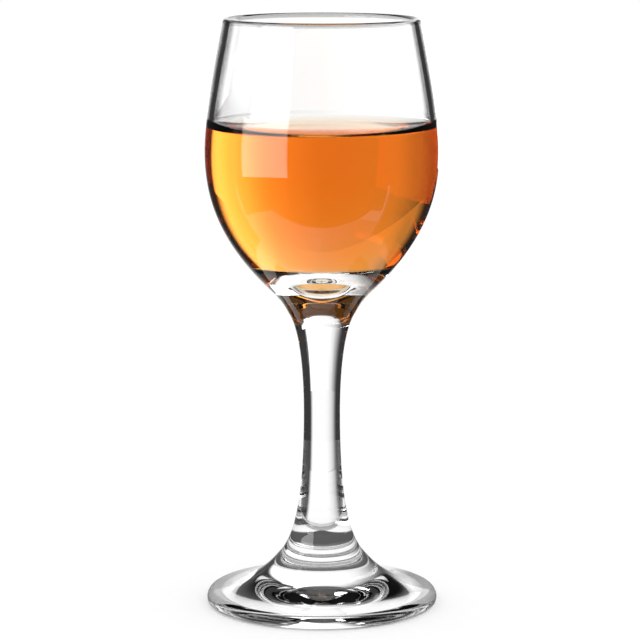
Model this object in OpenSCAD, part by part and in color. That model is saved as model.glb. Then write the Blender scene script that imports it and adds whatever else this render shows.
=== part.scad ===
// Stemmed sherry glass, part filled, all pieces turned about the Z axis.
// The glass stands on the plane z = 0. Lengths are in millimetres, angles in degrees.
//
// Three pieces of glass are fused end to end at two flat welds: foot, stem and bowl.
// Every outline is a chain of cubic curves. A curve is given by its two ends, by the way it
// leans away from the axis at each end, and by how strongly each end pulls on it.
// Where two pieces meet they share one radius and one lean, so the outline flows through.

/* [Foot] */
// Diameter of the foot
foot_d = 61.5; // [50:0.5:72]
// Height of the foot, from the table to the weld with the stem
foot_h = 13; // [11:0.5:18]
// Thickness of the foot at its edge
foot_edge_t = 3.7; // [3.5:0.1:5]
// Rounding of the upper edge of the foot
foot_top_round = 2.2; // [1:0.1:2.3]
// Rounding of the lower edge of the foot
foot_low_round = 1.1; // [0.5:0.1:1.1]
// How much the top of the foot slopes down at its edge
foot_slope = 7; // [2:0.5:12]
// Pull of the flat outer part of the foot's top
foot_flat_pull = 11; // [6:0.5:14]
// Pull of the steep inner part of the foot's top
foot_steep_pull = 2.4; // [1:0.1:4]
// Width of the flat ring that the glass rests on
rest_w = 3.2; // [1.5:0.1:6]
// Height of the hollow under the foot, on the axis
hollow_h = 3.2; // [1:0.1:5]
// Pull of the hollow's curve at the resting ring
hollow_ring_pull = 9; // [4:0.5:12]
// Pull of the hollow's curve at the axis
hollow_crown_pull = 12; // [6:0.5:14]

/* [Stem] */
// Length of the stem between its two welds
stem_h = 65; // [40:1:90]
// Diameter of the stem at its waist
waist_d = 9.7; // [7:0.1:13]
// Height of the waist above the lower weld
waist_h = 38.5; // [30:0.5:42]
// Diameter of the weld between foot and stem
foot_weld_d = 23.4; // [18:0.1:27]
// Lean of the outline at the weld between foot and stem
foot_weld_lean = 42; // [25:1:50]
// Pull of the stem's curve at the lower weld
stem_low_pull = 4.8; // [2:0.1:8]
// Pull of the stem's curve below the waist
waist_low_pull = 28; // [12:0.5:30]
// Pull of the stem's curve above the waist
waist_high_pull = 11; // [6:0.5:16]
// Pull of the stem's curve at the upper weld
stem_high_pull = 5.4; // [2:0.1:9]

/* [Bowl] */
// Height of the bowl, from the weld with the stem to the rim
bowl_h = 78; // [74:1:100]
// Diameter of the bowl at its widest
bowl_d = 61.5; // [54:0.5:72]
// Height of the widest level above the weld
belly_h = 43.4; // [38:0.2:48]
// Diameter of the weld between stem and bowl
neck_d = 17.3; // [14:0.1:20]
// Lean of the outline at the weld between stem and bowl
neck_lean = 31; // [20:1:38]
// Diameter where the outline turns from hollow to full
turn_d = 27.6; // [24:0.1:31]
// Height of that turn above the weld
turn_h = 6.7; // [5.5:0.1:8.5]
// Lean of the outline at the turn
turn_lean = 46.5; // [40:0.5:52]
// Pull of the outline as it leaves the weld
neck_pull = 2.4; // [1:0.1:4]
// Pull of the outline as it reaches the turn
turn_low_pull = 5; // [2:0.1:6]
// Pull of the outline as it leaves the turn
turn_high_pull = 22; // [12:0.5:26]
// Pull of the outline below the widest level
belly_low_pull = 8.2; // [4:0.1:16]
// Pull of the outline above the widest level
belly_high_pull = 8.2; // [4:0.1:14]
// Pull of the outline below the rim
rim_pull = 9.5; // [4:0.5:14]
// Outer diameter of the mouth
rim_d = 51.8; // [44:0.2:60]
// Inward lean of the wall at the rim
rim_lean = 10.8; // [4:0.2:14]
// Thickness of the wall at the rim, rounded by the flame
rim_t = 1.9; // [1.4:0.1:2.4]
// Thickness of the wall at the widest level
wall_t = 1.7; // [1.2:0.1:2.2]
// Height of the lowest point of the cup, in the middle of its dimple
dimple_h = 9.4; // [8.5:0.1:10.5]
// Diameter of the dimple in the cup's floor at its lip
dimple_d = 11.6; // [8:0.2:14]
// Height of the dimple's lip
lip_h = 12.9; // [11.5:0.1:13.4]
// Lean of the cup's floor where it falls into the dimple
lip_lean = 52; // [40:1:70]
// Pull of the dimple's bottom
dimple_pull = 4; // [2:0.1:4.5]
// Pull of the floor just inside the lip
lip_low_pull = 1.5; // [0.5:0.1:2]
// Pull of the floor just outside the lip
lip_high_pull = 1.5; // [0.5:0.1:3]
// Height of the heel, where the cup's floor turns into its side
heel_h = 15.4; // [14.6:0.1:17]
// Thickness of the glass at the heel, measured level
heel_wall = 3.3; // [2.6:0.1:6]
// Lean of the cup's outline at the heel
heel_lean = 45; // [38:1:55]
// Pull of the floor as it reaches the heel
heel_low_pull = 3; // [1.5:0.1:4]
// Pull of the side as it leaves the heel
heel_high_pull = 8; // [5:0.5:11]
// Pull of the cup's side below the widest level
cup_side_pull = 12; // [8:0.5:14]

/* [Sherry] */
// Height of the drink's flat surface above the bowl's weld
level_h = 49; // [30:0.5:64]
// Height that the drink climbs up the glass at its edge
climb_h = 2.6; // [1:0.1:3]
// Width of the climbing edge of the drink
climb_w = 3.2; // [1.5:0.1:5]

/* [Hidden] */

// Steps of each curve and facets of each turn
curve_steps = 24;
round_steps = 10;
$fn = 180;

// Radii from the diameters
foot_r = foot_d / 2;
foot_weld_r = foot_weld_d / 2;
waist_r = waist_d / 2;
neck_r = neck_d / 2;
turn_r = turn_d / 2;
belly_r = bowl_d / 2;
rim_bead_r = rim_t / 2;

// Heights of the welds above the table
foot_weld_z = foot_h;
neck_z = foot_h + stem_h;

// Colours of the clear glass and of the drink
glass_colour = [0.86, 0.90, 0.91, 0.45];
sherry_colour = [0.87, 0.45, 0.12, 0.9];

// A step of the given length that leans away from the axis by the given angle
function step(lean, length) = length * [sin(lean), cos(lean)];

// A point on the cubic curve with four control points, at t from 0 to 1
function cubic(a, b, c, d, t) =
    pow(1 - t, 3) * a + 3 * pow(1 - t, 2) * t * b + 3 * (1 - t) * pow(t, 2) * c + pow(t, 3) * d;

// A curve from one point to the next, without its first point
function flow(from, from_lean, from_pull, to, to_lean, to_pull) =
    [for (i = [1 : curve_steps])
        cubic(from, from + step(from_lean, from_pull), to - step(to_lean, to_pull), to, i / curve_steps)];

// A round from one angle to another about a centre, without its first point
function round_edge(centre, radius, from, to) =
    [for (i = [1 : round_steps])
        let (angle = from + (to - from) * i / round_steps)
        centre + radius * [cos(angle), sin(angle)]];

// Outline of the foot, from the middle of its hollow out to the edge and in to the weld
hollow_crown = [0, hollow_h];
rest_outer_r = foot_r - foot_low_round;
rest_inner = [rest_outer_r - rest_w, 0];
foot_top_start = [
    foot_r - foot_top_round + foot_top_round * sin(foot_slope),
    foot_edge_t - foot_top_round + foot_top_round * cos(foot_slope)
];
foot_outline = concat(
    [hollow_crown],
    flow(hollow_crown, 90, hollow_crown_pull, rest_inner, 90, hollow_ring_pull),
    [[rest_outer_r, 0]],
    round_edge([rest_outer_r, foot_low_round], foot_low_round, -90, 0),
    [[foot_r, foot_edge_t - foot_top_round]],
    round_edge([foot_r - foot_top_round, foot_edge_t - foot_top_round], foot_top_round,
        0, 90 - foot_slope),
    flow(foot_top_start, foot_slope - 90, foot_flat_pull,
        [foot_weld_r, foot_h], -foot_weld_lean, foot_steep_pull),
    [[0, foot_h]]
);

// Outline of the stem, from its lower weld past the waist to its upper weld
stem_outline = concat(
    [[0, 0], [foot_weld_r, 0]],
    flow([foot_weld_r, 0], -foot_weld_lean, stem_low_pull, [waist_r, waist_h], 0, waist_low_pull),
    flow([waist_r, waist_h], 0, waist_high_pull, [neck_r, stem_h], neck_lean, stem_high_pull),
    [[0, stem_h]]
);

// Centre of the rounded rim, and where the outer and the inner wall run into it
rim_centre = [rim_d / 2 - rim_bead_r, bowl_h - rim_bead_r];
rim_outer = rim_centre + rim_bead_r * [cos(rim_lean), sin(rim_lean)];
rim_inner = rim_centre - rim_bead_r * [cos(rim_lean), sin(rim_lean)];

// Outside of the bowl, from the weld up to the rim
bowl_outside = concat(
    [[neck_r, 0]],
    flow([neck_r, 0], neck_lean, neck_pull, [turn_r, turn_h], turn_lean, turn_low_pull),
    flow([turn_r, turn_h], turn_lean, turn_high_pull, [belly_r, belly_h], 0, belly_low_pull),
    flow([belly_r, belly_h], 0, belly_high_pull, rim_outer, -rim_lean, rim_pull)
);

// Radius of the outside of the bowl at a height above its weld
outside_by_height = [for (p = bowl_outside) [p[1], p[0]]];

// Inside of the bowl, from the middle of the cup's dimple up to the rim
cup_bottom = [0, dimple_h];
lip = [dimple_d / 2, lip_h];
heel = [lookup(heel_h, outside_by_height) - heel_wall, heel_h];
cup_side = [belly_r - wall_t, belly_h];
bowl_inside = concat(
    [cup_bottom],
    flow(cup_bottom, 90, dimple_pull, lip, lip_lean, lip_low_pull),
    flow(lip, lip_lean, lip_high_pull, heel, heel_lean, heel_low_pull),
    flow(heel, heel_lean, heel_high_pull, cup_side, 0, cup_side_pull),
    flow(cup_side, 0, belly_high_pull, rim_inner, -rim_lean, rim_pull)
);

// The same points in the other order, without the first of them, which the rim's round ends on
function turned(points) = [for (i = [len(points) - 2 : -1 : 0]) points[i]];

bowl_outline = concat(
    [[0, 0]],
    bowl_outside,
    round_edge(rim_centre, rim_bead_r, rim_lean, 90),
    round_edge(rim_centre, rim_bead_r, 90, 180 + rim_lean),
    turned(bowl_inside)
);

// Radius of the inside of the bowl at a height above its weld
inside_by_height = [for (p = bowl_inside) [p[1], p[0]]];
function cup_r(height) = lookup(height, inside_by_height);

// Outline of the drink: the wetted inside of the bowl, then the surface from its climbing
// edge in to the axis. The edge falls to the flat level along a quarter of an ellipse.
climb_z = level_h + climb_h;
edge_r = cup_r(climb_z);
sherry_surface = [for (i = [1 : round_steps])
    let (angle = 90 * i / round_steps)
    [edge_r - climb_w + climb_w * cos(angle), level_h + climb_h * (1 - sin(angle))]
];
sherry_outline = concat(
    [for (p = bowl_inside) if (p[1] < climb_z) p],
    [[edge_r, climb_z]],
    sherry_surface,
    [[0, level_h]]
);

module foot() {
    color(glass_colour)
        rotate_extrude() polygon(foot_outline);
}

module stem() {
    color(glass_colour)
        translate([0, 0, foot_weld_z])
            rotate_extrude() polygon(stem_outline);
}

module bowl() {
    color(glass_colour)
        translate([0, 0, neck_z])
            rotate_extrude() polygon(bowl_outline);
}

module sherry() {
    color(sherry_colour)
        translate([0, 0, neck_z])
            rotate_extrude() polygon(sherry_outline);
}

bowl();
stem();
foot();
sherry();
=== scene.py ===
"""A stemmed sherry glass, part filled, standing on a white table in a white studio.

The bowl, the stem, the foot and the drink are bodies of revolution about Z. Their outlines are the
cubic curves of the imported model, drawn much finer, so that the glass bends light smoothly. Only the
hollow under the foot differs: it is a little straighter, which lets light out of the foot.
Sizes of the glass are written in millimetres and become metres in the meshes.
"""
import math

import bpy
import numpy as np
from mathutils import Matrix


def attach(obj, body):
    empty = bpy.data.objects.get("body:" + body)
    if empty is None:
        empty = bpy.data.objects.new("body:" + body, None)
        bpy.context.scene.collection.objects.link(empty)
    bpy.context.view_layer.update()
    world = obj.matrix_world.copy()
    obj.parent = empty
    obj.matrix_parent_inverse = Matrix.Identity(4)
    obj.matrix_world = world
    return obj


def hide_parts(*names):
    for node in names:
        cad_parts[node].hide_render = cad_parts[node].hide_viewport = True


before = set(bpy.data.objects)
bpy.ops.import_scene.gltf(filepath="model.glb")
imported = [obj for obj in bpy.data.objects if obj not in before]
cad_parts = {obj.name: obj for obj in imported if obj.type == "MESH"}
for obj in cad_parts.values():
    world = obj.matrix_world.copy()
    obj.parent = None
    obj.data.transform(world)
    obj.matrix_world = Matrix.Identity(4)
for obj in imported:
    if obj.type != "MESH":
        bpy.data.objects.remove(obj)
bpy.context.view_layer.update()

MM = 0.001


# Sizes of the glass, in millimetres and degrees

FOOT_R = 30.75
FOOT_H = 13.0
FOOT_EDGE_T = 3.7
FOOT_TOP_ROUND = 2.2
FOOT_LOW_ROUND = 1.1
FOOT_SLOPE = 7.0
FOOT_FLAT_PULL = 11.0
FOOT_STEEP_PULL = 2.4
REST_W = 3.2
HOLLOW_H = 3.2
HOLLOW_RING_PULL = 6.0
HOLLOW_RING_LEAN = 97.0
HOLLOW_CROWN_PULL = 12.0

STEM_H = 65.0
WAIST_R = 4.85
WAIST_H = 38.5
FOOT_WELD_R = 11.7
FOOT_WELD_LEAN = 42.0
STEM_LOW_PULL = 4.8
WAIST_LOW_PULL = 28.0
WAIST_HIGH_PULL = 11.0
STEM_HIGH_PULL = 5.4

BOWL_H = 78.0
BELLY_R = 30.75
BELLY_H = 43.4
NECK_R = 8.65
NECK_LEAN = 31.0
TURN_R = 13.8
TURN_H = 6.7
TURN_LEAN = 46.5
NECK_PULL = 2.4
TURN_LOW_PULL = 5.0
TURN_HIGH_PULL = 22.0
BELLY_LOW_PULL = 8.2
BELLY_HIGH_PULL = 8.2
RIM_PULL = 9.5
RIM_R = 25.9
RIM_LEAN = 10.8
RIM_T = 1.9
WALL_T = 1.7
DIMPLE_H = 9.4
DIMPLE_PULL = 4.0
LIP_R = 5.8
LIP_H = 12.9
LIP_LEAN = 52.0
LIP_LOW_PULL = 1.5
LIP_HIGH_PULL = 1.5
HEEL_H = 15.4
HEEL_WALL = 3.3
HEEL_LEAN = 45.0
HEEL_LOW_PULL = 3.0
HEEL_HIGH_PULL = 8.0
CUP_SIDE_PULL = 12.0

LEVEL_H = 49.0
CLIMB_H = 2.6
CLIMB_W = 3.2
# How far the drink's mesh reaches into the glass that it wets, so that light passes from one to
# the other with no air between them
WETTING = 0.04

CURVE_STEPS = 56
ROUND_STEPS = 20
TURN_STEPS = 224
SHARP_ANGLE = 30.0

# Heights of the two welds above the table
FOOT_WELD_Z = FOOT_H
NECK_Z = FOOT_H + STEM_H


# Outlines, as arrays of radius and height

def lean_step(lean, length):
    """A step of the given length that leans away from the axis by the given angle."""
    return length * np.array([math.sin(math.radians(lean)), math.cos(math.radians(lean))])


def flow(start, start_lean, start_pull, end, end_lean, end_pull):
    """Points of a cubic curve from start to end, without the start.

    The curve is (1-t)^3 a + 3 (1-t)^2 t b + 3 (1-t) t^2 c + t^3 d for t from 0 to 1, where a and d
    are the ends and b and c lie a pull away from them along each end's lean.
    """
    a, d = np.array(start, float), np.array(end, float)
    b, c = a + lean_step(start_lean, start_pull), d - lean_step(end_lean, end_pull)
    t = np.linspace(0, 1, CURVE_STEPS + 1)[1:, None]
    return (1 - t) ** 3 * a + 3 * (1 - t) ** 2 * t * b + 3 * (1 - t) * t ** 2 * c + t ** 3 * d


def round_edge(centre, radius, start, end):
    """Points of an arc about a centre, from one angle to another, without the first."""
    angle = np.radians(np.linspace(start, end, ROUND_STEPS + 1)[1:])
    return np.array(centre) + radius * np.column_stack([np.cos(angle), np.sin(angle)])


def foot_outline():
    """The foot: out along the hollow and the resting ring, round the edge and in over the top."""
    rest_outer = FOOT_R - FOOT_LOW_ROUND
    edge_centre = [FOOT_R - FOOT_TOP_ROUND, FOOT_EDGE_T - FOOT_TOP_ROUND]
    top_start = edge_centre + lean_step(FOOT_SLOPE, FOOT_TOP_ROUND)
    return np.vstack([
        [[0, HOLLOW_H]],
        flow([0, HOLLOW_H], 90, HOLLOW_CROWN_PULL,
             [rest_outer - REST_W, 0], HOLLOW_RING_LEAN, HOLLOW_RING_PULL),
        [[rest_outer, 0]],
        round_edge([rest_outer, FOOT_LOW_ROUND], FOOT_LOW_ROUND, -90, 0),
        [[FOOT_R, edge_centre[1]]],
        round_edge(edge_centre, FOOT_TOP_ROUND, 0, 90 - FOOT_SLOPE),
        flow(top_start, FOOT_SLOPE - 90, FOOT_FLAT_PULL,
             [FOOT_WELD_R, FOOT_H], -FOOT_WELD_LEAN, FOOT_STEEP_PULL),
        [[0, FOOT_H]],
    ])


def stem_outline():
    """The stem: out along the lower weld, up past the waist and in along the upper weld."""
    return np.vstack([
        [[0, 0], [FOOT_WELD_R, 0]],
        flow([FOOT_WELD_R, 0], -FOOT_WELD_LEAN, STEM_LOW_PULL,
             [WAIST_R, WAIST_H], 0, WAIST_LOW_PULL),
        flow([WAIST_R, WAIST_H], 0, WAIST_HIGH_PULL,
             [NECK_R, STEM_H], NECK_LEAN, STEM_HIGH_PULL),
        [[0, STEM_H]],
    ]) + [0, FOOT_WELD_Z]


RIM_BEAD_R = RIM_T / 2
RIM_CENTRE = np.array([RIM_R - RIM_BEAD_R, BOWL_H - RIM_BEAD_R])
RIM_ACROSS = lean_step(90 - RIM_LEAN, RIM_BEAD_R)


def bowl_outside():
    """Outside of the bowl from the weld up to the rim."""
    return np.vstack([
        [[NECK_R, 0]],
        flow([NECK_R, 0], NECK_LEAN, NECK_PULL, [TURN_R, TURN_H], TURN_LEAN, TURN_LOW_PULL),
        flow([TURN_R, TURN_H], TURN_LEAN, TURN_HIGH_PULL, [BELLY_R, BELLY_H], 0, BELLY_LOW_PULL),
        flow([BELLY_R, BELLY_H], 0, BELLY_HIGH_PULL, RIM_CENTRE + RIM_ACROSS, -RIM_LEAN, RIM_PULL),
    ])


def bowl_inside():
    """Inside of the bowl from the middle of the cup's floor up to the rim, with a point where the
    drink's edge touches the glass."""
    outside = bowl_outside()
    heel = [np.interp(HEEL_H, outside[:, 1], outside[:, 0]) - HEEL_WALL, HEEL_H]
    side = [BELLY_R - WALL_T, BELLY_H]
    points = np.vstack([
        [[0, DIMPLE_H]],
        flow([0, DIMPLE_H], 90, DIMPLE_PULL, [LIP_R, LIP_H], LIP_LEAN, LIP_LOW_PULL),
        flow([LIP_R, LIP_H], LIP_LEAN, LIP_HIGH_PULL, heel, HEEL_LEAN, HEEL_LOW_PULL),
        flow(heel, HEEL_LEAN, HEEL_HIGH_PULL, side, 0, CUP_SIDE_PULL),
        flow(side, 0, BELLY_HIGH_PULL, RIM_CENTRE - RIM_ACROSS, -RIM_LEAN, RIM_PULL),
    ])
    touch = LEVEL_H + CLIMB_H
    at = np.searchsorted(points[:, 1], touch)
    return np.insert(points, at, [np.interp(touch, points[:, 1], points[:, 0]), touch], axis=0)


def bowl_outline():
    """The bowl: out along the weld, up the outside, over the rim and down the inside."""
    return np.vstack([
        [[0, 0]],
        bowl_outside(),
        round_edge(RIM_CENTRE, RIM_BEAD_R, RIM_LEAN, 90),
        round_edge(RIM_CENTRE, RIM_BEAD_R, 90, 180 + RIM_LEAN),
        bowl_inside()[-2::-1],
    ]) + [0, NECK_Z]


def sherry_outline():
    """The drink: the wetted inside of the bowl, set out into the glass by the wetting, then the
    surface, which falls from its climbing edge to the flat level along a quarter of an ellipse."""
    wet = bowl_inside()
    wet = wet[wet[:, 1] <= LEVEL_H + CLIMB_H]
    along = np.gradient(wet, axis=0)
    along /= np.linalg.norm(along, axis=1)[:, None]
    side = wet + WETTING * np.column_stack([along[:, 1], -along[:, 0]])
    side[0, 0] = 0
    edge_r = wet[-1, 0]
    angle = np.radians(np.linspace(0, 90, ROUND_STEPS * 2 + 1))
    climb = np.column_stack([
        edge_r - CLIMB_W + CLIMB_W * np.cos(angle),
        LEVEL_H + CLIMB_H * (1 - np.sin(angle)),
    ])
    flat_r = np.linspace(edge_r - CLIMB_W, 0, ROUND_STEPS + 1)[1:]
    flat = np.column_stack([flat_r, np.full(len(flat_r), LEVEL_H)])
    return np.vstack([side, climb, flat]) + [0, NECK_Z]


# Meshes

def turned_body(name, outline, slot_of=None):
    """A closed body turned about Z from an outline that starts and ends on the axis.

    A point of the outline (r, z) and an angle a give (r cos a, r sin a, z). The two ends are single
    points. slot_of gives the material slot of each stretch of the outline from its middle.
    """
    rings = outline[1:-1] * MM
    angle = np.linspace(0, 2 * np.pi, TURN_STEPS, endpoint=False)
    r, z = rings[:, :1], rings[:, 1:]
    body = np.stack([r * np.cos(angle), r * np.sin(angle), z + 0 * angle], axis=-1).reshape(-1, 3)
    poles = np.array([[0, 0, outline[0, 1]], [0, 0, outline[-1, 1]]]) * MM
    points = np.vstack([poles[:1], body, poles[1:]])

    here = np.arange(TURN_STEPS)
    after = (here + 1) % TURN_STEPS
    first = 1 + np.arange(len(rings) - 1)[:, None] * TURN_STEPS
    quads = np.stack([first + here, first + after, first + after + TURN_STEPS,
                      first + here + TURN_STEPS], axis=-1).reshape(-1, 4)
    last_ring = 1 + (len(rings) - 1) * TURN_STEPS
    start_fan = np.column_stack([np.zeros(TURN_STEPS, int), 1 + after, 1 + here])
    end_fan = np.column_stack([np.full(TURN_STEPS, len(points) - 1), last_ring + here,
                               last_ring + after])

    corners = np.concatenate([start_fan.ravel(), quads.ravel(), end_fan.ravel()])
    counts = np.concatenate([np.full(TURN_STEPS, 3), np.full(len(quads), 4),
                             np.full(TURN_STEPS, 3)])
    mesh = bpy.data.meshes.new(name)
    mesh.vertices.add(len(points))
    mesh.vertices.foreach_set("co", points.astype(np.float32).ravel())
    mesh.loops.add(len(corners))
    mesh.loops.foreach_set("vertex_index", corners.astype(np.int32))
    mesh.polygons.add(len(counts))
    starts = np.concatenate([[0], np.cumsum(counts)[:-1]])
    mesh.polygons.foreach_set("loop_start", starts.astype(np.int32))
    if slot_of is not None:
        middles = (outline[1:] + outline[:-1]) / 2
        slots = np.array([slot_of(*middle) for middle in middles])
        mesh.polygons.foreach_set("material_index", np.repeat(slots, TURN_STEPS).astype(np.int32))
    mesh.update(calc_edges=True)
    mesh.validate()
    mesh.polygons.foreach_set("use_smooth", np.ones(len(counts), bool))
    mesh.set_sharp_from_angle(angle=math.radians(SHARP_ANGLE))
    piece = bpy.data.objects.new(name, mesh)
    bpy.context.scene.collection.objects.link(piece)
    return piece


# Shader nodes

def set_stops(elements, stops):
    """Gives the elements of a colour ramp their places and their brightness."""
    while len(elements) < len(stops):
        elements.new(1)
    for element, (place, level) in zip(elements, stops):
        element.position = place
        element.color = (level, level, level, 1)


class Wire:
    """One output socket of a node tree; sums, differences and products on it add Math nodes."""

    def __init__(self, nodes, socket):
        self.nodes = nodes
        self.socket = socket

    def _math(self, operation, first, second):
        return self.nodes.add("ShaderNodeMath", {"operation": operation}, {0: first, 1: second})

    def __add__(self, other):
        return self._math("ADD", self, other)

    def __sub__(self, other):
        return self._math("SUBTRACT", self, other)

    def __rsub__(self, other):
        return self._math("SUBTRACT", other, self)

    def __mul__(self, other):
        return self._math("MULTIPLY", self, other)

    __radd__ = __add__
    __rmul__ = __mul__

    def larger(self, other):
        """The larger of two values."""
        return self._math("MAXIMUM", self, other)

    def smooth_step(self, low, high):
        """0 below low, 1 above high, with a soft change between."""
        return self.nodes.add("ShaderNodeMapRange", {"interpolation_type": "SMOOTHSTEP"},
                              {"Value": self, "From Min": low, "From Max": high})

    def beside(self, output):
        """Another output of the same node."""
        return Wire(self.nodes, self.socket.node.outputs[output])


class Nodes:
    """The node tree of a material or of the world, emptied and ready to fill."""

    def __init__(self, owner):
        owner.use_nodes = True
        self.tree = owner.node_tree
        self.tree.nodes.clear()

    def add(self, kind, settings=None, sockets=None, output=0):
        """A node of a kind, with its settings made first, then the values or wires of its sockets.

        The setting "stops" of a colour ramp is a list of places from 0 to 1 with their brightness.
        """
        node = self.tree.nodes.new(kind)
        for key, value in (settings or {}).items():
            if key == "stops":
                set_stops(node.color_ramp.elements, value)
            else:
                setattr(node, key, value)
        for key, value in (sockets or {}).items():
            if isinstance(value, Wire):
                self.tree.links.new(value.socket, node.inputs[key])
            else:
                node.inputs[key].default_value = value
        return Wire(self, node.outputs[output]) if node.outputs else None

    def ramp(self, value, stops):
        """The brightness that the stops give at a value."""
        return self.add("ShaderNodeValToRGB", {"stops": stops}, {"Fac": value})


# Materials of the glass and the drink

GLASS_IOR = 1.52
GLASS_TINT = (0.995, 0.998, 0.997)
POLISH = 0.004
BEAD_POLISH = 0.01
# The rim's bead is made darker than clear glass: painted shade for the dark line along the rim
BEAD_PAINTED_SHADE = 0.52
SCUFF = 0.3
SHERRY_IOR = 1.345
SHERRY_COLOUR = (0.961, 0.682, 0.185, 1)
SHERRY_DENSITY = 100.0
WHITE = (1, 1, 1, 1)
BLACK = (0, 0, 0, 1)


def clear_glass(name, specular_tint=WHITE, roughness=POLISH, shade_clearness=1.0):
    """Clear pressed and blown glass: faint smears in its polish and slow waves in its surface."""
    material = bpy.data.materials.new(name)
    nodes = Nodes(material)
    place = nodes.add("ShaderNodeTexCoord", output="Object")
    smear = nodes.add("ShaderNodeTexNoise", None,
                      {"Vector": place, "Scale": 90.0, "Detail": 3.0, "Roughness": 0.6}, "Fac")
    wave = nodes.add("ShaderNodeTexNoise", None,
                     {"Vector": place, "Scale": 55.0, "Detail": 1.0, "Roughness": 0.4}, "Fac")
    bump = nodes.add("ShaderNodeBump", None,
                     {"Height": wave, "Strength": 0.12, "Distance": 0.0004})
    shader = nodes.add("ShaderNodeBsdfPrincipled", None, {
        # A clearness below 1 darkens the glass's colour; only the rim's bead uses it, as painted
        # shade
        "Base Color": (*(shade_clearness * channel for channel in GLASS_TINT), 1),
        "Roughness": roughness + 3 * roughness * smear,
        "IOR": GLASS_IOR,
        "Transmission Weight": 1.0,
        "Specular Tint": specular_tint,
        "Normal": bump,
    })
    nodes.add("ShaderNodeOutputMaterial", None, {"Surface": shader})
    return material


def weld_glass():
    """The fused face between two pieces of glass, which light crosses without turning."""
    material = bpy.data.materials.new("fused_weld")
    nodes = Nodes(material)
    shader = nodes.add("ShaderNodeBsdfTransparent")
    nodes.add("ShaderNodeOutputMaterial", None, {"Surface": shader})
    return material


def amber_drink():
    """The drink: its colour is what it takes from light on the way through."""
    material = bpy.data.materials.new("sherry_amber")
    nodes = Nodes(material)
    shader = nodes.add("ShaderNodeBsdfPrincipled", None, {
        "Base Color": WHITE,
        "Roughness": 0.0,
        "IOR": SHERRY_IOR,
        "Transmission Weight": 1.0,
        "Specular Tint": BLACK,
    })
    depth = nodes.add("ShaderNodeVolumeAbsorption", None,
                      {"Color": SHERRY_COLOUR, "Density": SHERRY_DENSITY})
    nodes.add("ShaderNodeOutputMaterial", None, {"Surface": shader, "Volume": depth})
    return material


# The pieces

glass = clear_glass("clear_glass")
wet_glass = clear_glass("wetted_glass", specular_tint=BLACK)
weld = weld_glass()
# The rim's bead: clear glass darkened as painted shade
shaded_rim_glass = clear_glass("rim_bead_painted_shade", roughness=BEAD_POLISH, shade_clearness=BEAD_PAINTED_SHADE)
scuffed = clear_glass("scuffed_ring", roughness=SCUFF)
drink = amber_drink()

# Places of the materials on the three pieces of glass
DRY, WELD = 0, 1
WET, BEAD = 2, 3
SCUFFED = 2

# How near a stretch's middle lies to a flat face that it belongs to, or to the inside of the bowl
AT_FACE = 0.001
AT_FLOOR = 0.01
AT_INSIDE = 0.2

TOUCH_Z = NECK_Z + LEVEL_H + CLIMB_H
FLOOR_Z = NECK_Z + DIMPLE_H
BEAD_LOW_Z = NECK_Z + RIM_CENTRE[1] - 0.3 * RIM_BEAD_R
REST_INNER_R = FOOT_R - FOOT_LOW_ROUND - REST_W
REST_TOP_Z = 0.3
INSIDE_R, INSIDE_Z = (bowl_inside() + [0, NECK_Z]).T


def bowl_slot(r, z):
    """Weld at the bottom, the rim's bead on top, wetted glass inside the drink's reach, and dry
    glass elsewhere."""
    if z < NECK_Z + AT_FACE:
        return WELD
    if z > BEAD_LOW_Z:
        return BEAD
    inside = z > FLOOR_Z - AT_FLOOR and r < np.interp(z, INSIDE_Z, INSIDE_R) + AT_INSIDE
    return WET if inside and z < TOUCH_Z else DRY


def stem_slot(r, z):
    """Welds at both ends and plain glass between."""
    at_weld = z < FOOT_WELD_Z + AT_FACE or z > NECK_Z - AT_FACE
    return WELD if at_weld else DRY


def foot_slot(r, z):
    """A weld on top, the ring that it stands on, scuffed by use, and plain glass elsewhere."""
    if z > FOOT_WELD_Z - AT_FACE:
        return WELD
    return SCUFFED if z < REST_TOP_Z and r > REST_INNER_R else DRY


def dress(piece, node, materials):
    """Gives a piece its materials and its place in the frame."""
    for material in materials:
        piece.data.materials.append(material)
    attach(piece, "root")
    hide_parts(node)


bowl = turned_body("blown_bowl", bowl_outline(), bowl_slot)
dress(bowl, "bowl", [glass, weld, wet_glass, shaded_rim_glass])
stem = turned_body("waisted_stem", stem_outline(), stem_slot)
dress(stem, "stem", [glass, weld])
foot = turned_body("pressed_foot", foot_outline(), foot_slot)
dress(foot, "foot", [glass, weld, scuffed])
sherry = turned_body("sherry_fill", sherry_outline())
dress(sherry, "sherry", [drink])


# Camera: how far back and up it stands, in metres, and how far down it looks, in degrees

CAMERA_BACK = 0.745
CAMERA_UP = 0.199
CAMERA_DOWN = 9.35
LENS = 160.5
SENSOR = 36.0
SHIFT_X = -0.003

camera_data = bpy.data.cameras.new("camera")
camera_data.lens = LENS
camera_data.sensor_width = SENSOR
camera_data.shift_x = SHIFT_X
camera = bpy.data.objects.new("camera", camera_data)
camera.location = (0, -CAMERA_BACK, CAMERA_UP)
camera.rotation_euler = (math.radians(90 - CAMERA_DOWN), 0, 0)
bpy.context.scene.collection.objects.link(camera)
bpy.context.scene.camera = camera
bpy.context.view_layer.update()


# Studio, in metres. Azimuths are in degrees about Z, 0 being straight behind the glass and positive
# to the right.

def stage_sheet(name, points, corners, material):
    """A sheet of the studio from its points, its four-sided faces and its material."""
    mesh = bpy.data.meshes.new(name)
    mesh.from_pydata(points.tolist(), [], corners.tolist())
    mesh.materials.append(material)
    mesh.update()
    sheet = bpy.data.objects.new(name, mesh)
    bpy.context.scene.collection.objects.link(sheet)
    return sheet


# The screens and cards are on one stand, which turns about Z with the camera, as if the camera and
# the lights stood still and the glass were on a turntable.
stand = bpy.data.objects.new("stand", None)
bpy.context.scene.collection.objects.link(stand)
turning = stand.constraints.new("LOCKED_TRACK")
turning.target = camera
turning.track_axis = "TRACK_NEGATIVE_Y"
turning.lock_axis = "LOCK_Z"


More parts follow.
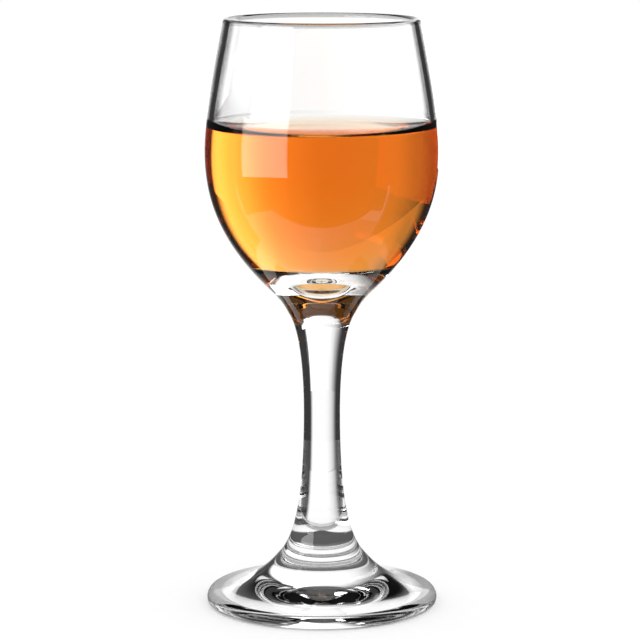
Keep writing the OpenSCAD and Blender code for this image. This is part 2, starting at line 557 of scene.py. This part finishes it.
def for_glass_only(sheet):
    """Puts a sheet on the stand, where only light that the glass bends or mirrors reaches it."""
    sheet.visible_camera = False
    sheet.visible_diffuse = False
    sheet.visible_shadow = False
    sheet.parent = stand


SCREEN_STEPS = 96


def strips(rows):
    """The four-sided faces between neighbouring rows of SCREEN_STEPS + 1 points."""
    row = SCREEN_STEPS + 1
    first = np.arange(rows - 1)[:, None] * row + np.arange(SCREEN_STEPS)
    return np.stack([first, first + 1, first + 1 + row, first + row], axis=-1).reshape(-1, 4)


def screen(name, material, azimuths, section):
    """A screen for the glass, turned about Z from one azimuth to another. A point (r, z) of its
    section gives (r sin a, r cos a, z).

    U runs from 0 at azimuth -180 to 1 at +180, and V from 0 at the section's start to 1 at its end.
    """
    azimuth = np.linspace(*azimuths, SCREEN_STEPS + 1)
    angle = np.radians(azimuth)
    r, z = np.array(section).T[:, :, None]
    points = np.stack([r * np.sin(angle), r * np.cos(angle), z + 0 * angle], axis=-1).reshape(-1, 3)
    corners = strips(len(section))
    sheet = stage_sheet(name, points, corners, material)
    at_row, at_step = np.divmod(corners.ravel(), SCREEN_STEPS + 1)
    uv = np.column_stack([azimuth[at_step] / 360 + 0.5, at_row / (len(section) - 1)])
    sheet.data.uv_layers.new(name="UVMap").data.foreach_set("uv", uv.ravel())
    for_glass_only(sheet)


def across_and_up(nodes, azimuth_stops):
    """A screen's values at stops of azimuth, up to 1, and its height from 0 to 1."""
    uv = nodes.add("ShaderNodeTexCoord", output="UV")
    u = nodes.add("ShaderNodeSeparateXYZ", None, {"Vector": uv}, "X")
    places = [(azimuth / 360 + 0.5, level) for azimuth, level in azimuth_stops]
    return nodes.ramp(u, places), u.beside("Y")


def graded_light(name, azimuth_stops, rise_stops, strength=1.0):
    """Light of a screen, as brightness at stops of azimuth, times brightness at stops of height."""
    material = bpy.data.materials.new(name)
    nodes = Nodes(material)
    peak = max(level for azimuth, level in azimuth_stops)
    across, up = across_and_up(nodes, [(azimuth, level / peak) for azimuth, level in azimuth_stops])
    glow = nodes.add("ShaderNodeEmission", None,
                     {"Color": across * nodes.ramp(up, rise_stops), "Strength": peak * strength})
    nodes.add("ShaderNodeOutputMaterial", None, {"Surface": glow})
    return material


def black_cloth(name, azimuth_stops, glow):
    """A black flag that is as dense at each azimuth as the stops say."""
    material = bpy.data.materials.new(name)
    nodes = Nodes(material)
    dense, up = across_and_up(nodes, azimuth_stops)
    clear = nodes.add("ShaderNodeBsdfTransparent")
    cloth = nodes.add("ShaderNodeEmission", None, {"Strength": glow})
    surface = nodes.add("ShaderNodeMixShader", None, {"Fac": dense, 1: clear, 2: cloth})
    nodes.add("ShaderNodeOutputMaterial", None, {"Surface": surface})
    return material


def seen_by(nodes):
    """Whether a ray is the camera's, and whether it came off or through glass."""
    camera_ray = nodes.add("ShaderNodeLightPath", output="Is Camera Ray")
    glass_ray = camera_ray.beside("Is Glossy Ray").larger(camera_ray.beside("Is Transmission Ray"))
    return camera_ray, glass_ray


# The table lies a hair below the resting ring, so that light leaves the glass before it lands
TABLE_Z = -0.00005
TABLE_HALF = 3.0
TABLE_COLOUR = (0.8, 0.8, 0.8, 1)
TABLE_LIFT = 0.26
TABLE_GLOW = 1.08
# Painted contact shadow on the table, seen only by the glass: its brightness, and the radii where it
# fades in and out
CONTACT_SHADOW_GLOW = 0.63
CONTACT_SHADOW_INNER = (0.0255, 0.0265)
CONTACT_SHADOW_OUTER = (0.031, 0.033)


def white_table():
    """The table: white to the camera but for the glass's shadow, and white to the glass but for a
    painted shadow in a ring under and just round the foot's resting edge."""
    material = bpy.data.materials.new("table_white")
    nodes = Nodes(material)
    camera_ray, glass_ray = seen_by(nodes)
    paper = nodes.add("ShaderNodeBsdfDiffuse", None, {"Color": TABLE_COLOUR})
    lift = nodes.add("ShaderNodeEmission", None, {"Strength": TABLE_LIFT})
    to_camera = nodes.add("ShaderNodeAddShader", None, {0: paper, 1: lift})
    place = nodes.add("ShaderNodeNewGeometry", output="Position")
    away = nodes.add("ShaderNodeVectorMath", {"operation": "LENGTH"}, {0: place}, "Value")
    # Painted contact shadow: a ring round the axis, darker than the rest of the table
    painted_contact_shadow = away.smooth_step(*CONTACT_SHADOW_INNER) - away.smooth_step(*CONTACT_SHADOW_OUTER)
    to_glass = nodes.add("ShaderNodeEmission", None, {
        "Color": 1.0 - (1.0 - CONTACT_SHADOW_GLOW / TABLE_GLOW) * painted_contact_shadow,
        "Strength": TABLE_GLOW,
    })
    surface = nodes.add("ShaderNodeMixShader", None, {"Fac": glass_ray, 1: to_camera, 2: to_glass})
    nodes.add("ShaderNodeOutputMaterial", None, {"Surface": surface})
    return material


table_corners = np.array([[-1, -1, 0], [1, -1, 0], [1, 1, 0], [-1, 1, 0]]) * TABLE_HALF
stage_sheet("table", table_corners + [0, 0, TABLE_Z], np.array([[0, 1, 2, 3]]), white_table())

# Radii of the screens and cards, and heights: lying on the table or on another sheet, and standing
SURROUND_R = 0.4
SOFTBOX_R = 0.22
SIDE_SOFTBOX_R = 0.1
CARD_R = 0.113
FRONT_R = 0.19
FRONT_STRAIGHT = 0.115
LOW_RING_R = 0.15
NEAR_R = 0.06
FOOT_CLEAR_R = 0.0315
LOW_RIGHT_CLEAR_R = 0.034
UNDER_FOOT_SHADE_R = 0.026
LYING = 0.0002
LYING_OVER = 0.0004
STANDING = 0.0005

# Brightness of the black cloth, of the painted shade under the foot, and of the softboxes
CLOTH_GLOW = 0.04
UNDER_FOOT_SHADE_GLOW = 0.11
SOFTBOX_GLOW = 4.2
SIDE_SOFTBOX_GLOW = 2.2

EVEN = [(0, 1), (1, 1)]
SURROUND_STOPS = [(-180, 0.08), (-100, 0.08), (-80, 0.45), (-46, 0.7), (-27, 0.8), (-18, 1.1),
                  (-9, 1.15), (0, 1.13), (6, 1.3), (12, 1.6), (19, 2.4), (27, 2.9), (35, 3.5),
                  (46, 3.0), (80, 1.5), (100, 0.08), (180, 0.08)]
SHARP_LEFT = [(-95, 0), (-92, 1), (-33, 1), (-24, 0)]
DRINK_LEFT = [(-95, 0), (-92, 1), (-38, 1), (-32, 0.88), (-27, 0.67), (-20, 0.38), (-12, 0.2),
              (-6, 0.12), (3, 0.03), (8, 0)]
SOFT_LEFT = [(-95, 0), (-92, 1), (-38, 1), (-32, 0.85), (-27, 0.55), (-20, 0.25), (-12, 0.05),
             (-6, 0)]
LOW_RIGHT = [(-180, 1.08), (100, 0.45), (135, 0.5), (180, 1.08)]
SIDE_SOFTBOX_STOPS = [(-112, 0), (-106, 1), (-84, 1), (-78, 0)]
SOFTBOX_STOPS = [(-149, 0), (-148, 1), (-101.5, 1), (-99.5, 0)]
UNDER_FOOT_SHADE_STOPS = [(-45, 0), (-35, 1), (35, 1), (45, 0)]

screen("surround", graded_light("surround_light", SURROUND_STOPS, [(0, 1), (0.92, 1), (1, 0.2)]),
       (-180, 180), [(SURROUND_R, 0), (SURROUND_R, 0.42)])


def black_cards(name, left_side, clear_to, dense_from, section):
    """Black cards left and right of the glass."""
    stops = left_side + [(clear_to, 0), (dense_from, 1), (115, 1), (118, 0)]
    screen(name, black_cloth(name + "_cloth", stops, CLOTH_GLOW), (-100, 120), section)


black_cards("rim_cards", SHARP_LEFT, 24, 33, [(CARD_R, 0.122), (CARD_R, 0.19)])
black_cards("drink_cards", DRINK_LEFT, 31, 35, [(CARD_R, 0.104), (CARD_R, 0.122)])
black_cards("stem_cards", SOFT_LEFT, 20, 27, [(CARD_R, STANDING), (CARD_R, 0.104)])
black_cards("foot_cards", SOFT_LEFT, 20, 27,
            [(FOOT_CLEAR_R, LYING), (NEAR_R, LYING), (NEAR_R, 0.0178)])

front_cloth = black_cloth("front_cloth", EVEN, CLOTH_GLOW)
screen("front_card", front_cloth, (115, 268), [(FRONT_R, STANDING), (FRONT_R, 0.08)])


def front_apron():
    """Black floor between the front card and a straight line across in front of the glass: a point
    at angle a from the front has radius FRONT_R outside and FRONT_STRAIGHT / cos a inside."""
    angle = np.linspace(-1, 1, SCREEN_STEPS + 1) * math.acos(FRONT_STRAIGHT / FRONT_R)
    r = np.array([FRONT_STRAIGHT / np.cos(angle), FRONT_R + 0 * angle])
    points = np.stack([r * np.sin(angle), -r * np.cos(angle), LYING_OVER + 0 * r], axis=-1)
    for_glass_only(stage_sheet("front_apron", points.reshape(-1, 3), strips(2), front_cloth))


front_apron()
screen("low_right_card", graded_light("low_right_light", LOW_RIGHT, EVEN),
       (115, 180), [(LOW_RIGHT_CLEAR_R, LYING), (NEAR_R, LYING)])
screen("low_ring", graded_light("low_ring_light", LOW_RIGHT, [(0, 0.8), (1, 1)]),
       (30, 180), [(NEAR_R, LYING), (LOW_RING_R, LYING)])
screen("side_softbox",
       graded_light("side_softbox_light", SIDE_SOFTBOX_STOPS, [(0, 0), (0.3, 1), (1, 1)],
                    SIDE_SOFTBOX_GLOW),
       (-114, -76), [(SIDE_SOFTBOX_R, 0.14), (SIDE_SOFTBOX_R, 0.19)])
# A dark sheet seen only through the glass, lying under the foot's hollow: painted shade for the table
# under the foot
screen("painted_shade_under_foot", black_cloth("under_foot_painted_shade", UNDER_FOOT_SHADE_STOPS, UNDER_FOOT_SHADE_GLOW),
       (-50, 50), [(0.0, LYING), (UNDER_FOOT_SHADE_R, LYING)])
screen("softbox", graded_light("softbox_light", SOFTBOX_STOPS, EVEN, SOFTBOX_GLOW),
       (-150, -99), [(SOFTBOX_R, 0.04), (SOFTBOX_R, 0.22)])

WORLD_TO_GLASS = 0.11


def studio_world():
    """White to the camera, dim overhead to the glass, and an even light for the table."""
    world = bpy.data.worlds.new("studio")
    bpy.context.scene.world = world
    nodes = Nodes(world)
    camera_ray, glass_ray = seen_by(nodes)
    to_others = (1.0 - glass_ray) + glass_ray * WORLD_TO_GLASS
    glow = nodes.add("ShaderNodeBackground", None,
                     {"Color": camera_ray + (1.0 - camera_ray) * to_others, "Strength": 1.0})
    nodes.add("ShaderNodeOutputWorld", None, {"Surface": glow})


studio_world()

scene = bpy.context.scene
scene.view_settings.view_transform = "Standard"
scene.cycles.max_bounces = 32
scene.cycles.transmission_bounces = 32
scene.cycles.transparent_max_bounces = 16
